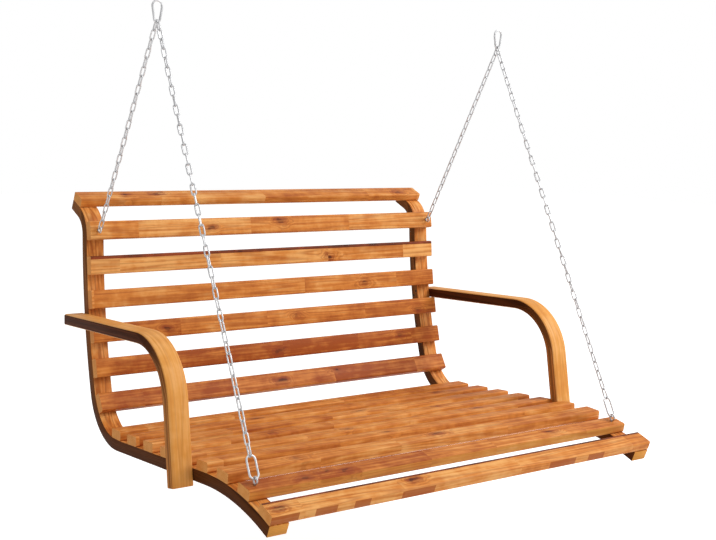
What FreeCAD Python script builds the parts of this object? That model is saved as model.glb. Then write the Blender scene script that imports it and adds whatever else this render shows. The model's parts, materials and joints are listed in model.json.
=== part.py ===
"""Hanging swing bench: slats on two bent rails, two bent armrests, four chains and two snap hooks."""
import FreeCAD, Part
import math
import os
import Sketcher

Vector = FreeCAD.Vector
Placement = FreeCAD.Placement
Rotation = FreeCAD.Rotation
ALONG_X = Vector(1, 0, 0)
ALONG_Y = Vector(0, 1, 0)
ALONG_Z = Vector(0, 0, 1)
ORIGIN = Vector(0, 0, 0)

# Driving dimensions, in millimetres and degrees
SIZES = {
    # Slats: flush with the outer faces of the rails, edges eased
    "slat_length": 1155,
    "slat_width": 48,
    "slat_thick": 24,
    "slat_edge": 2.5,
    "slat_gap": 0.2,
    "seat_pitch": 87.2,
    "back_first": 860.3,
    "back_second": 954.3,
    "back_pitch": 89.5,
    # Side rails: the face that carries the slats, from the front end to the flared top
    "rail_width": 48,
    "rail_thick": 27,
    "rail_front_y": 0,
    "rail_front_z": 1,
    "rail_front_slope": 25,
    "waterfall_radius": 600,
    "waterfall_turn": 26.2,
    "seat_run": 442.9,
    "bend_radius": 130,
    "bend_turn": 77.1,
    "back_radius": 1668,
    "back_turn": 14.1,
    "flare_radius": 80,
    "flare_turn": 64,
    "flare_run": 44,
    # Armrests: level top, bend and leg, outside the rails
    "arm_width": 54,
    "arm_thick": 28,
    "arm_edge": 3,
    "arm_back_y": 909,
    "arm_top_z": 347.5,
    "arm_run": 414.4,
    "arm_radius": 160,
    "arm_turn": 83.1,
    "leg_run": 190,
    # Screws of the slats and of the armrests
    "screw_radius": 1.8,
    "screw_head_radius": 3.8,
    "screw_head_height": 2.2,
    "screw_length": 45,
    "pilot_depth": 19,
    "arm_screw_length": 78,
    "arm_pilot_depth": 32,
    "arm_screw_offset": 6.5,
    "screw_play": 0.3,
    # Eye bolts with their washers and nuts
    "eye_wire_radius": 2.5,
    "eye_ring_radius": 7.5,
    "eye_bar": 4,
    "eye_shank_radius": 3,
    "eye_hole_radius": 3.3,
    "spot_radius": 10,
    "spot_depth": 1.2,
    "washer_radius": 9,
    "washer_thick": 1.6,
    "nut_flats": 10,
    "nut_thick": 5,
    "shank_beyond_nut": 3,
    # Chain links and the long links of the front chains
    "link_bar": 3.2,
    "link_half_width": 5.1,
    "link_half_length": 14.25,
    "link_corner": 2.6,
    "link_play": 0.3,
    "pivot_play": 0.6,
    "hook_play": 0.5,
    "eye_play": 0.4,
    "link_side_shift": 1.8,
    "chain_twist": 90,
    "front_links": 42,
    "rear_links": 24,
    "long_bar": 4,
    "long_half_width": 11,
    "long_half_length": 25.55,
    "long_corner": 6.4,
    # Snap hooks: wide bow up, narrow bow with a flat down, gate on the inner side
    "hook_wire_radius": 2.5,
    "hook_wide_radius": 13,
    "hook_narrow_radius": 5,
    "hook_flat_half": 2.6,
    "hook_side": 33,
    "hook_chord": 30,
    "hinge_run": 7,
    "tongue_start": 1,
    "tongue_half": 1.1,
    "gate_radius": 2.8,
    "gate_play": 0.9,
    "gate_pin_along": 4,
    "gate_pin_radius": 0.9,
    "pin_play": 0.05,
    "gate_below_pin": 1.6,
    "gate_slot_half": 1.4,
    "gate_slot_above_pin": 4.6,
    "gate_hole_radius": 1.2,
    # Lean of the bench that brings its weight straight under the hooks
    "hang_angle": 2.78,
}

doc = FreeCAD.newDocument("swing_bench")
sheet = doc.addObject("Spreadsheet::Sheet", "sizes")
for row, (alias, number) in enumerate(SIZES.items(), start=1):
    sheet.set(f"A{row}", alias.replace("_", " "))
    sheet.set(f"B{row}", str(number))
    sheet.setAlias(f"B{row}", alias)
doc.recompute()


def size(alias):
    """One driving dimension, read from the sheet."""
    return float(sheet.get(alias))


def worth(expression):
    """The number that an expression over the sheet gives, angles in degrees."""
    result = sheet.evalExpression(expression)
    return float(getattr(result, "Value", result))


def turned(degrees, axis=ALONG_X):
    """A turn about an axis through the origin."""
    return Placement(ORIGIN, Rotation(axis, degrees))


def shifted(x=0, y=0, z=0):
    """A straight move."""
    return Placement(Vector(x, y, z), Rotation())


# Sketches

def sketch_on(body, name, role):
    """A new sketch on one of the origin planes of its own body."""
    sketch = body.newObject("Sketcher::SketchObject", name)
    plane = next(feature for feature in body.Origin.OriginFeatures if feature.Role == role)
    sketch.AttachmentSupport = [(plane, "")]
    sketch.MapMode = "FlatFace"
    return sketch


def drive(sketch, constraint, expression):
    """Add a constraint whose value follows the sheet."""
    number = sketch.addConstraint(constraint)
    sketch.setExpression(f"Constraints[{number}]", expression)


def polygon(sketch, corners):
    """A closed outline through corners given as pairs of expressions over the sheet."""
    points = [Vector(worth(across), worth(along), 0) for across, along in corners]
    first = sketch.GeometryCount
    count = len(points)
    for index in range(count):
        sketch.addGeometry(Part.LineSegment(points[index], points[(index + 1) % count]))
    for index in range(count):
        following = first + (index + 1) % count
        sketch.addConstraint(Sketcher.Constraint("Coincident", first + index, 2, following, 1))
    for index, (across, along) in enumerate(corners):
        edge = first + index
        if across == "0":
            sketch.addConstraint(Sketcher.Constraint("PointOnObject", edge, 1, -2))
        else:
            drive(sketch, Sketcher.Constraint("DistanceX", -1, 1, edge, 1, points[index].x), across)
        if along == "0":
            sketch.addConstraint(Sketcher.Constraint("PointOnObject", edge, 1, -1))
        else:
            drive(sketch, Sketcher.Constraint("DistanceY", -1, 1, edge, 1, points[index].y), along)


def corner_shares(sides):
    """Cosine and sine of each corner of a regular outline that has flats square to both axes where it can."""
    angles = [math.pi * (2 * number + 1) / sides for number in range(sides)]
    return [(round(math.cos(angle), 6), round(math.sin(angle), 6)) for angle in angles]


def rounding(sketch, radius, sides, across="0", along="0"):
    """A regular outline that stands for a circle: its corners lie on the radius."""
    corners = []
    for cosine, sine in corner_shares(sides):
        spot = []
        for centre, share in ((across, cosine), (along, sine)):
            reach = f"({share}) * ({radius})"
            if share == 0:
                spot.append(centre)
            else:
                spot.append(reach if centre == "0" else f"{centre} + {reach}")
        corners.append(tuple(spot))
    polygon(sketch, corners)


def around(radius, sides):
    """The corner radius of a regular outline whose flats touch a circle."""
    return f"({radius}) / cos({180 / sides} deg)"


def heading_vector(degrees):
    """A unit vector of the sketch plane."""
    angle = math.radians(degrees)
    return Vector(math.cos(angle), math.sin(angle), 0)


def run_end(point, heading, run):
    """The end of a straight run, given as (length,), or of an arc, given as (radius, turn), left positive."""
    values = [worth(expression) for expression in run]
    if len(run) == 1:
        return point + heading_vector(heading) * values[0], heading
    radius, turn = values
    side = 90 if turn > 0 else -90
    centre = point + heading_vector(heading + side) * radius
    return centre - heading_vector(heading + turn + side) * radius, heading + turn


def path(sketch, runs, heading=0):
    """A smooth open path of straight runs and arcs from the sketch's origin, driven by the sheet."""
    point = ORIGIN
    before = None
    for run in runs:
        end, new_heading = run_end(point, heading, run)
        if len(run) == 1:
            edge = sketch.addGeometry(Part.LineSegment(point, end))
            start_at, end_at = 1, 2
            drive(sketch, Sketcher.Constraint("Distance", edge, (end - point).Length), run[0])
        else:
            radius, turn = worth(run[0]), worth(run[1])
            left = turn > 0
            centre = point + heading_vector(heading + (90 if left else -90)) * radius
            angles = [math.atan2(spot.y - centre.y, spot.x - centre.x) for spot in (point, end)]
            low, high = angles if left else angles[::-1]
            if high < low:
                high += 2 * math.pi
            edge = sketch.addGeometry(Part.ArcOfCircle(Part.Circle(centre, ALONG_Z, radius), low, high))
            start_at, end_at = (1, 2) if left else (2, 1)
            drive(sketch, Sketcher.Constraint("Radius", edge, radius), run[0])
            span = run[1] if left else f"-({run[1]})"
            drive(sketch, Sketcher.Constraint("Angle", edge, math.radians(abs(turn))), f"({span}) * 1 deg")
        if before is None:
            sketch.addConstraint(Sketcher.Constraint("Coincident", edge, start_at, -1, 1))
            if len(run) == 1:
                sketch.addConstraint(Sketcher.Constraint("Horizontal", edge))
            else:
                sketch.addConstraint(Sketcher.Constraint("PointOnObject", edge, 3, -2))
        else:
            sketch.addConstraint(Sketcher.Constraint("Tangent", before[0], before[1], edge, start_at))
        before = (edge, end_at)
        point, heading = end, new_heading


def chords(sketch, runs):
    """A path of straight runs from the sketch's origin, its arcs drawn as chords of equal turns."""
    point = ORIGIN
    turned_so_far = "0"
    before = None
    for run in runs:
        turn = "0" if len(run) == 1 else run[1]
        count = max(1, round(abs(worth(turn)) / size("hook_chord")))
        length = run[0] if len(run) == 1 else f"2 * ({run[0]}) * sin(({turn}) / {2 * count} * 1 deg)"
        for number in range(count):
            aim = f"({turned_so_far}) + ({turn}) * {(2 * number + 1) / (2 * count)}"
            heading = worth(aim)
            end = point + heading_vector(heading) * worth(length)
            edge = sketch.addGeometry(Part.LineSegment(point, end))
            drive(sketch, Sketcher.Constraint("Distance", edge, (end - point).Length), length)
            if heading:
                angle = Sketcher.Constraint("Angle", edge, math.radians(heading))
                drive(sketch, angle, f"({aim}) * 1 deg")
            else:
                sketch.addConstraint(Sketcher.Constraint("Horizontal", edge))
            joined = (-1, 1) if before is None else (before, 2)
            sketch.addConstraint(Sketcher.Constraint("Coincident", edge, 1, *joined))
            before, point = edge, end
        turned_so_far = f"({turned_so_far}) + ({turn})"


# Places on the bench, in the upright frame of the seat: Y to the back, Z up

RAIL_LINE = [
    ("sizes.waterfall_radius", "-sizes.waterfall_turn"),
    ("sizes.seat_run",),
    ("sizes.bend_radius", "sizes.bend_turn"),
    ("sizes.back_radius", "sizes.back_turn"),
    ("sizes.flare_radius", "-sizes.flare_turn"),
    ("sizes.flare_run",),
]
ARM_LINE = [("sizes.arm_run",), ("sizes.arm_radius", "sizes.arm_turn"), ("sizes.leg_run",)]


def run_length(run):
    """The length of a straight run or an arc."""
    values = [worth(expression) for expression in run]
    if len(run) == 1:
        return values[0]
    return values[0] * math.radians(abs(values[1]))


RAIL_FRAME = shifted(y=size("rail_front_y"), z=size("rail_front_z")) * turned(size("rail_front_slope"))
RAIL_LENGTH = sum(run_length(run) for run in RAIL_LINE)
ARM_FRAME = shifted(y=size("arm_back_y"), z=size("arm_top_z")) * turned(180)


def along_rail(distance):
    """The frame on the rail's face at a distance from its front end: Y along the rail, Z off the face."""
    point, heading = ORIGIN, 0
    for run in RAIL_LINE:
        length = run_length(run)
        if distance <= length or run is RAIL_LINE[-1]:
            part = distance / length
            shares = [f"({run[0]}) * {part}"] if len(run) == 1 else [run[0], f"({run[1]}) * {part}"]
            point, heading = run_end(point, heading, shares) if part else (point, heading)
            break
        distance -= length
        point, heading = run_end(point, heading, run)
    return RAIL_FRAME * shifted(y=point.x, z=point.y) * turned(heading)


def slat_frame(distance):
    """The frame of a slat's underside, resting on the rail's face at a distance along the rail."""
    foot = size("slat_width") / 2 - size("slat_edge")
    low = along_rail(distance - foot).Base
    chord = along_rail(distance + foot).Base - low
    turn = Rotation(ALONG_X, math.degrees(math.atan2(chord.z, chord.y)))
    normal = turn.multVec(ALONG_Z)
    spots = [along_rail(distance + foot * step / 6).Base for step in range(-6, 7)]
    lift = max((spot - low).dot(normal) for spot in spots) + size("slat_gap")
    return Placement(low + chord * 0.5 + normal * lift, turn)


def rail_depth(distance):
    """How far the rail's rear face lies under a slat's underside, along the slat's axis."""
    frame = slat_frame(distance)
    face = along_rail(distance).Base
    return (frame.Base - face).dot(frame.Rotation.multVec(ALONG_Z)) + size("rail_thick")


SEAT_PLACES = [size("slat_width") / 2 + step * size("seat_pitch") for step in range(9)]
BACK_PLACES = [size("back_first")]
BACK_PLACES += [size("back_second") + step * size("back_pitch") for step in range(5)]
BACK_PLACES += [RAIL_LENGTH - size("slat_width") / 2]
SLATS = {f"seat_slat_{9 - step}": place for step, place in enumerate(SEAT_PLACES)}
SLATS.update({f"back_slat_{7 - step}": place for step, place in enumerate(BACK_PLACES)})
FRONT_EYE_SLAT = "seat_slat_8"
REAR_EYE_SLAT = "back_slat_2"
RAIL_CENTRE_X = (size("slat_length") - size("rail_width")) / 2
SIDES = {"left": -1, "right": 1}
FRONT_CHAIN_X = RAIL_CENTRE_X - size("link_side_shift")
REAR_CHAIN_X = RAIL_CENTRE_X + size("link_side_shift")

# Chains: their lengths place the lower bow of the hooks above the eyes

LINK_INSIDE = 2 * size("link_half_length") - size("link_bar")
LONG_INSIDE = 2 * size("long_half_length") - size("long_bar")
HOOK_REACH = size("hook_wire_radius") + size("hook_play")
EYE_REACH = size("eye_wire_radius") + size("eye_play")
EYE_STANDOFF = size("slat_thick") + size("eye_ring_radius") + size("eye_wire_radius")


def link_distances(count, pivot_after):
    """Distances of the link centres from the hook's wire, the looser joint coming after one link."""
    distances = [LINK_INSIDE / 2 - HOOK_REACH]
    for number in range(1, count):
        play = size("pivot_play") if number == pivot_after else size("link_play")
        distances.append(distances[-1] + LINK_INSIDE - play)
    return distances


FRONT_LINKS = link_distances(int(size("front_links")), 2)
REAR_LINKS = link_distances(int(size("rear_links")), 1)
LONG_DISTANCE = FRONT_LINKS[-1] + LINK_INSIDE / 2 + LONG_INSIDE / 2 - size("link_play")
FRONT_LENGTH = LONG_DISTANCE + LONG_INSIDE / 2 - EYE_REACH
REAR_LENGTH = REAR_LINKS[-1] + LINK_INSIDE / 2 - EYE_REACH
FRONT_RING = (slat_frame(SLATS[FRONT_EYE_SLAT]) * shifted(z=EYE_STANDOFF)).Base
REAR_RING = (slat_frame(SLATS[REAR_EYE_SLAT]) * shifted(z=EYE_STANDOFF)).Base


def hook_point():
    """The point above the seat that both chains reach when drawn tight."""
    front_reach = FRONT_LENGTH + size("eye_ring_radius")
    rear_reach = REAR_LENGTH + size("eye_ring_radius")
    between = REAR_RING - FRONT_RING
    along = (front_reach ** 2 - rear_reach ** 2 + between.Length ** 2) / (2 * between.Length)
    across = math.sqrt(front_reach ** 2 - along ** 2)
    unit = between * (1 / between.Length)
    return FRONT_RING + unit * along + Vector(0, -unit.z, unit.y) * across


PIVOT = hook_point()
FRONT_PULL = (FRONT_RING - PIVOT) * (1 / (FRONT_RING - PIVOT).Length)
REAR_PULL = (REAR_RING - PIVOT) * (1 / (REAR_RING - PIVOT).Length)
FRONT_EYE = FRONT_RING - FRONT_PULL * size("eye_ring_radius")
REAR_EYE = REAR_RING - REAR_PULL * size("eye_ring_radius")

# Snap hooks: the upper bow's inside top is the origin's height

RADIUS_STEP = "(sizes.hook_wide_radius - sizes.hook_narrow_radius)"
HOOK_LEAN = (
    f"atan2({RADIUS_STEP}; sizes.hook_side) / 1 deg"
    f" - asin(sizes.hook_flat_half / sqrt(sizes.hook_side ^ 2 + {RADIUS_STEP} ^ 2)) / 1 deg"
)
HOOK_FRONT_PATH = [
    ("sizes.hook_flat_half",),
    ("sizes.hook_narrow_radius", f"90 - ({HOOK_LEAN})"),
    ("sizes.hinge_run",),
]
HOOK_BACK_PATH = [
    ("sizes.hook_flat_half",),
    ("sizes.hook_narrow_radius", f"90 - ({HOOK_LEAN})"),
    ("sizes.hook_side",),
    ("sizes.hook_wide_radius", f"180 + 2 * ({HOOK_LEAN})"),
]


def hook_rise():
    """The height of the upper bow's inside top above the wire centre of the lower bow."""
    lean = math.radians(worth(HOOK_LEAN))
    narrow = size("hook_narrow_radius")
    bow_centre = narrow + narrow * math.sin(lean) + size("hook_side") * math.cos(lean)
    return bow_centre + size("hook_wide_radius") - size("hook_wire_radius")


HOOK_FRAME = shifted(z=-hook_rise())
BENCH_FRAME = HOOK_FRAME * turned(-size("hang_angle")) * Placement(PIVOT * -1, Rotation())


# Pieces

def new_body(name):
    """An empty body under its own name."""
    body = doc.addObject("PartDesign::Body", name)
    body.Label = name
    return body


def feature(body, kind, name, profile, **settings):
    """A feature of a body made from a sketch, its numbers following the sheet."""
    made = body.newObject(f"PartDesign::{kind}", name)
    made.Profile = profile
    for prop, value in settings.items():
        if isinstance(value, str) and "sizes." in value:
            made.setExpression(prop, value)
        else:
            setattr(made, prop, value)
    return made


def group(label, shape, places):
    """Copies of one shape at several places, kept as separate solids in one piece."""
    copies = []
    for place in places:
        copy = shape.copy()
        copy.Placement = place * copy.Placement
        copies.append(copy)
    made = doc.addObject("Part::Feature", label)
    made.Label = label
    made.Shape = Part.makeCompound(copies)
    return made


def drilled(label, blank, shapes):
    """A piece made from its blank by cutting the shapes of its holes."""
    doc.recompute()
    made = doc.addObject("Part::Feature", label)
    made.Label = label
    made.Shape = blank.Shape.cut(shapes)
    return made


def slat(label, distance):
    """One slat with blind holes for its screws, or with through holes for the eye bolts."""
    body = new_body(label)
    section = sketch_on(body, f"{label}_section", "YZ_Plane")
    half = "sizes.slat_width / 2"
    polygon(section, [
        (f"sizes.slat_edge - {half}", "0"),
        (f"{half} - sizes.slat_edge", "0"),
        (half, "sizes.slat_edge"),
        (half, "sizes.slat_thick - sizes.slat_edge"),
        (f"{half} - sizes.slat_edge", "sizes.slat_thick"),
        (f"sizes.slat_edge - {half}", "sizes.slat_thick"),
        (f"-{half}", "sizes.slat_thick - sizes.slat_edge"),
        (f"-{half}", "sizes.slat_edge"),
    ])
    feature(body, "Pad", f"{label}_board", section, Length="sizes.slat_length", SideType="Symmetric")
    holes = sketch_on(body, f"{label}_holes", "XY_Plane")
    centre = "(sizes.slat_length - sizes.rail_width) / 2"
    if label == FRONT_EYE_SLAT:
        centre = f"({centre} - sizes.link_side_shift)"
    elif label == REAR_EYE_SLAT:
        centre = f"({centre} + sizes.link_side_shift)"
    if label in (FRONT_EYE_SLAT, REAR_EYE_SLAT):
        radius, depth = "sizes.eye_hole_radius", "sizes.slat_thick"
    else:
        radius, depth = "(sizes.screw_radius + sizes.screw_play)", "sizes.pilot_depth"
    for sign in ("", "-"):
        rounding(holes, around(radius, 6), 6, across=f"{sign}{centre}")
    feature(body, "Pocket", f"{label}_drilling", holes, Length=depth, Reversed=True)
    body.Placement = BENCH_FRAME * slat_frame(distance)
    return body


def bent_strip(name, line, width, corners_of):
    """A strip bent along a line, its section standing on the line's start."""
    body = new_body(name)
    spine = sketch_on(body, f"{name}_line", "YZ_Plane")
    path(spine, line)
    section = sketch_on(body, f"{name}_section", "XZ_Plane")
    polygon(section, corners_of(f"{width} / 2"))
    feature(body, "AdditivePipe", f"{name}_strip", section, Spine=spine)
    return body


def rail_corners(half):
    """The rail's section, under its face line."""
    return [(f"-{half}", "-sizes.rail_thick"), (half, "-sizes.rail_thick"), (half, "0"), (f"-{half}", "0")]


def arm_corners(half):
    """The armrest's section with eased edges, on the inner side of its bend."""
    return [
        (f"sizes.arm_edge - {half}", "0"),
        (f"{half} - sizes.arm_edge", "0"),
        (half, "sizes.arm_edge"),
        (half, "sizes.arm_thick - sizes.arm_edge"),
        (f"{half} - sizes.arm_edge", "sizes.arm_thick"),
        (f"sizes.arm_edge - {half}", "sizes.arm_thick"),
        (f"-{half}", "sizes.arm_thick - sizes.arm_edge"),
        (f"-{half}", "sizes.arm_edge"),
    ]


def rail_centre(distance):
    """The frame in the middle of the rail's thickness."""
    return along_rail(distance) * shifted(z=-size("rail_thick") / 2)


def rail_crossing(low, high, beyond):
    """The distance along the rail at which its middle passes a line."""
    for _ in range(40):
        middle = (low + high) / 2
        if beyond(rail_centre(middle).Base):
            high = middle
        else:
            low = middle
    return low


ARM_MIDDLE_Z = size("arm_top_z") - size("arm_thick") / 2
LEG_START, LEG_HEADING = ORIGIN, 0
for arm_run in ARM_LINE[:2]:
    LEG_START, LEG_HEADING = run_end(LEG_START, LEG_HEADING, arm_run)
LEG_FRAME = ARM_FRAME * shifted(y=LEG_START.x, z=LEG_START.y) * turned(LEG_HEADING)


def behind_leg(point):
    """Whether a point lies behind the middle of the armrest's leg."""
    return LEG_FRAME.inverse().multVec(point).z > size("arm_thick") / 2


SEAT_END = run_length(RAIL_LINE[0]) + run_length(RAIL_LINE[1])
ARM_CROSSINGS = [
    rail_crossing(SEAT_END, RAIL_LENGTH, lambda point: point.z > ARM_MIDDLE_Z),
    rail_crossing(0, SEAT_END, behind_leg),
]


def slat_screw_places(prefix):
    """Frames of the screws that hold the slats: head at the rail's rear face, tip towards the slat."""
    places = []
    for label, distance in SLATS.items():
        if label.startswith(prefix) and label not in (FRONT_EYE_SLAT, REAR_EYE_SLAT):
            for side in SIDES.values():
                head = shifted(x=side * RAIL_CENTRE_X, z=-rail_depth(distance))
                places.append(BENCH_FRAME * slat_frame(distance) * head)
    return places


def arm_screw_places(side):
    """Frames of the armrest's screws: head at the rail's inner face, tip towards the armrest."""
    places = []
    inner = side * (size("slat_length") / 2 - size("rail_width"))
    offset = size("arm_screw_offset")
    for distance in ARM_CROSSINGS:
        for sign in (-1, 1):
            spot = rail_centre(distance) * shifted(x=inner, y=sign * offset, z=sign * offset)
            places.append(BENCH_FRAME * spot * turned(side * 90, ALONG_Y))
    return places


def bolt_frames():
    """Frames of the eye bolts on the undersides of their slats, with the depth of the rail's spot face."""
    frames = {}
    ends = {"front": (FRONT_EYE_SLAT, FRONT_CHAIN_X), "rear": (REAR_EYE_SLAT, REAR_CHAIN_X)}
    for end, (label, across) in ends.items():
        distance = SLATS[label]
        seat_depth = rail_depth(distance) - size("spot_depth")
        underside = BENCH_FRAME * slat_frame(distance)
        for name, side in SIDES.items():
            frames[f"{end}_{name}"] = underside * shifted(x=side * across), seat_depth
    return frames


BOLTS = bolt_frames()


def rim(radius, sides, height):
    """The corners of a regular outline whose flats touch a circle, at a height."""
    reach = radius / math.cos(math.pi / sides)
    return [Vector(cosine * reach, sine * reach, height) for cosine, sine in corner_shares(sides)]


def flat(*corners):
    """A flat face through its corners."""
    return Part.Face(Part.makePolygon([*corners, corners[0]]))


def bar(radius, sides, bottom, top):
    """An upright bar with flats."""
    return flat(*rim(radius, sides, bottom)).extrude(Vector(0, 0, top - bottom))


def taper(low_radius, high_radius, sides, height):
    """An upright tapered bar with flats, standing on the origin."""
    low, high = rim(low_radius, sides, 0), rim(high_radius, sides, height)
    faces = [flat(*reversed(low)), flat(*high)]
    for index in range(sides):
        faces.append(flat(low[index - 1], low[index], high[index], high[index - 1]))
    return Part.Solid(Part.Shell(faces))


def screw(length, play=0):
    """A countersunk wood screw with its head down at the origin, or the space of one that has some play."""
    shank = size("screw_radius") + play
    head = taper(size("screw_head_radius") + play, shank, 6, size("screw_head_height"))
    return bar(shank, 6, 0, length + play).fuse(head).removeSplitter()


def placed(shape, place):
    """A copy of a shape at a place."""
    copy = shape.copy()
    copy.Placement = place * copy.Placement
    return copy


def side_rail(name, side):
    """A bent laminated rail, drilled for the screws and the eye bolts, with spot faces for the washers."""
    blank = bent_strip(f"rail_blank_{name}", RAIL_LINE, "sizes.rail_width", rail_corners)
    blank.Placement = BENCH_FRAME * RAIL_FRAME * shifted(x=side * RAIL_CENTRE_X)
    on_this_side = [
        place for prefix in ("seat", "back") for place in slat_screw_places(prefix) if place.Base.x * side > 0
    ]
    slat_hole = screw(size("screw_length"), size("screw_play"))
    shapes = [placed(slat_hole, place) for place in on_this_side]
    arm_hole = screw(size("arm_screw_length"), size("screw_play"))
    shapes += [placed(arm_hole, place) for place in arm_screw_places(side)]
    deep = size("rail_thick") * 2
    for key, (frame, seat_depth) in BOLTS.items():
        if key.endswith(name):
            bore = bar(size("eye_hole_radius"), 6, -deep, deep)
            spot = bar(size("spot_radius"), 12, -seat_depth - deep, -seat_depth)
            shapes.append(placed(bore.fuse(spot).removeSplitter(), frame))
    return drilled(f"side_rail_{name}", blank, shapes)


def armrest(name, side):
    """A bent laminated armrest with blind holes for its screws."""
    blank = bent_strip(f"arm_blank_{name}", ARM_LINE, "sizes.arm_width", arm_corners)
    centre_x = side * (size("slat_length") + size("arm_width")) / 2
    blank.Placement = BENCH_FRAME * ARM_FRAME * shifted(x=centre_x)
    rail = size("rail_width")
    bore = bar(size("screw_radius") + size("screw_play"), 6, rail, rail + size("arm_pilot_depth"))
    shapes = [placed(bore, place) for place in arm_screw_places(side)]
    return drilled(f"armrest_{name}", blank, shapes)


def eye_bolt(key):
    """A ring on a threaded shank: the ring stands on the slat, the shank reaches beyond the nut."""
    frame, seat_depth = BOLTS[key]
    label = f"eye_bolt_{key}"
    body = new_body(label)
    ring = sketch_on(body, f"{label}_outline", "YZ_Plane")
    centre = "sizes.slat_thick + sizes.eye_ring_radius + sizes.eye_wire_radius"
    for sign in ("+", "-"):
        rounding(ring, around(f"sizes.eye_ring_radius {sign} sizes.eye_bar / 2", 12), 12, along=centre)
    feature(body, "Pad", f"{label}_ring", ring, Length="sizes.eye_bar", SideType="Symmetric")
    shank = sketch_on(body, f"{label}_section", "XY_Plane")
    rounding(shank, "sizes.eye_shank_radius", 6)
    below = f"{seat_depth} + sizes.washer_thick + sizes.nut_thick + sizes.shank_beyond_nut"
    feature(
        body, "Pad", f"{label}_shank", shank, SideType="Two sides",
        Length="sizes.slat_thick + sizes.eye_wire_radius", Length2=below,
    )
    body.Placement = frame
    return body


def washer():
    """A flat washer with its upper face at the origin."""
    body = new_body("washer_pattern")
    section = sketch_on(body, "washer_section", "XY_Plane")
    rounding(section, "sizes.washer_radius", 12)
    rounding(section, around("sizes.eye_hole_radius", 6), 6)
    feature(body, "Pad", "washer_plate", section, Length="sizes.washer_thick", Reversed=True)
    return body


def nut():
    """A hexagon nut with its upper face at the origin."""
    body = new_body("nut_pattern")
    section = sketch_on(body, "nut_section", "XY_Plane")
    rounding(section, around("sizes.nut_flats / 2", 6), 6)
    rounding(section, around("sizes.eye_hole_radius", 6), 6)
    feature(body, "Pad", "nut_block", section, Length="sizes.nut_thick", Reversed=True)
    return body


def octagon(sketch, kind, offset):
    """The outline of a link an offset away from the middle of its bar, with its corners cut."""
    wide = f"(sizes.{kind}_half_width + {offset})"
    tall = f"(sizes.{kind}_half_length + {offset})"
    cut = f"(sizes.{kind}_corner + ({offset}) * (2 - sqrt(2)))"
    corners = [
        (wide, f"{tall} - {cut}"), (f"{wide} - {cut}", tall),
        (f"{cut} - {wide}", tall), (f"-{wide}", f"{tall} - {cut}"),
        (f"-{wide}", f"{cut} - {tall}"), (f"{cut} - {wide}", f"-{tall}"),
        (f"{wide} - {cut}", f"-{tall}"), (wide, f"{cut} - {tall}"),
    ]
    polygon(sketch, corners)


def chain_link():
    """One short link with pointed ends, long along Z and flat across X."""
    body = new_body("link_pattern")
    section = sketch_on(body, "link_section", "YZ_Plane")
    outer = "(sizes.link_half_width + sizes.link_bar / 2)"
    top = "(sizes.link_half_length + sizes.link_bar / 2)"
    shoulder = f"({top} - sizes.link_corner)"
    polygon(section, [
        (outer, shoulder), ("0", top), (f"-{outer}", shoulder),
        (f"-{outer}", f"-{shoulder}"), ("0", f"-{top}"), (outer, f"-{shoulder}"),
    ])
    wide = "(sizes.link_half_width - sizes.link_bar / 2)"
    tall = "(sizes.link_half_length - sizes.link_bar / 2)"
    polygon(section, [(wide, tall), (f"-{wide}", tall), (f"-{wide}", f"-{tall}"), (wide, f"-{tall}")])
    feature(body, "Pad", "link_ring", section, Length="sizes.link_bar", SideType="Symmetric")
    return body


def long_link(name, place):
    """One long oval link, long along Z and flat across X."""
    body = new_body(f"long_link_{name}")
    section = sketch_on(body, f"long_section_{name}", "YZ_Plane")
    octagon(section, "long", "sizes.long_bar / 2")
    octagon(section, "long", "-sizes.long_bar / 2")
    feature(body, "Pad", f"long_ring_{name}", section, Length="sizes.long_bar", SideType="Symmetric")
    body.Placement = place
    return body


def chain_frame(pull, across):
    """The frame at the hook's wire whose Z axis points up along a chain."""
    lean = math.degrees(math.atan2(pull.y, -pull.z))
    return BENCH_FRAME * Placement(PIVOT + Vector(across, 0, 0), Rotation(ALONG_X, lean))


def link_places(frame, distances, first, twist=0):
    """Frames of successive links, each a quarter turn on from the last, with a twist shared among them."""
    places = []
    for number, distance in enumerate(distances):
        turn = 90 * ((first + number + 1) % 2) + twist * (number + 1) / len(distances)
        places.append(frame * shifted(z=-distance) * turned(turn, ALONG_Z))
    return places


def snap_hook(name, side):
    """A pear-shaped wire hook: both arms start in the lower bow's middle, one ends in the hinge tongue."""
    body = new_body(f"hook_blank_{name}")
    section = sketch_on(body, f"hook_section_{name}", "YZ_Plane")
    rounding(section, "sizes.hook_wire_radius", 6)
    front = sketch_on(body, f"hook_front_{name}", "XZ_Plane")
    chords(front, HOOK_FRONT_PATH)
    feature(body, "AdditivePipe", f"hook_front_arm_{name}", section, Spine=front, Transition="Right corner")
    back = sketch_on(body, f"hook_back_{name}", "XZ_Plane")
    chords(back, HOOK_BACK_PATH)
    back.AttachmentOffset = turned(180, ALONG_Y)
    feature(body, "AdditivePipe", f"hook_back_arm_{name}", section, Spine=back, Transition="Right corner")
    body.Placement = hook_place(side)
    wire = size("hook_wire_radius")
    reach = size("hinge_run")
    tools = []
    for sign in (-1, 1):
        edge = size("tongue_half") if sign > 0 else -size("tongue_half") - 2 * wire
        corner = Vector(-2 * wire, edge, size("tongue_start"))
        tools.append(Part.makeBox(4 * wire, 2 * wire, reach, corner))
    tools.append(pin_hole(size("gate_pin_radius") + size("pin_play"), 2 * wire))
    place = hook_place(side) * hinge_frame()
    return drilled(f"hook_{name}", body, [placed(tool, place) for tool in tools])


def hook_place(side):
    """The frame of a hook at the wire centre of its lower bow, the gate side turned inwards."""
    facing = 0 if side < 0 else 180
    return HOOK_FRAME * shifted(x=side * RAIL_CENTRE_X) * turned(facing, ALONG_Z)


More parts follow.
